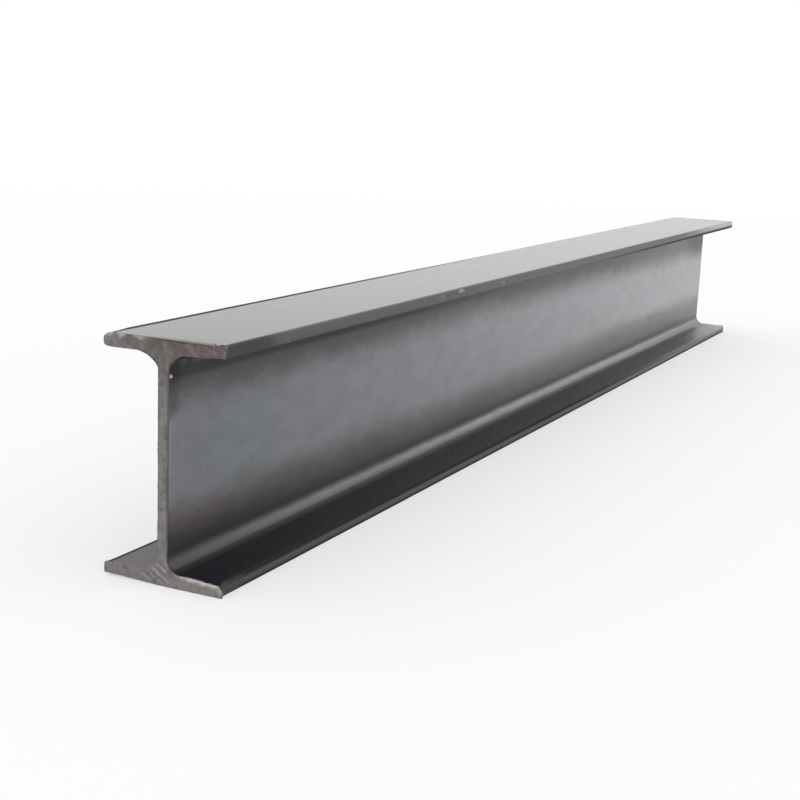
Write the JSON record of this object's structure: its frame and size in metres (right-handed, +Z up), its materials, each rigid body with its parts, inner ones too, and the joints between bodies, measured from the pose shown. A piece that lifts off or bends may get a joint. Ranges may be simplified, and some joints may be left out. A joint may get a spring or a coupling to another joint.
{
  "type": "steel i-beam",
  "caption": "Hot-rolled steel I-beam: parallel flanges on a thin web with filleted roots and sawn square ends, a cut length of structural stock for frames and supports.",
  "frame": {"origin": "under the middle of the beam, at the centre of the bottom flange's underside", "axes": "+X along the beam, +Y across the flanges, +Z up through the web"},
  "size_m": [0.83, 0.055, 0.1],
  "materials": {
    "mill_steel": "hot-rolled mill scale, satin blue-grey, with bare sawn ends"
  },
  "bodies": {
    "root": {"i_beam": "mill_steel"}
  },
  "joints": []
}
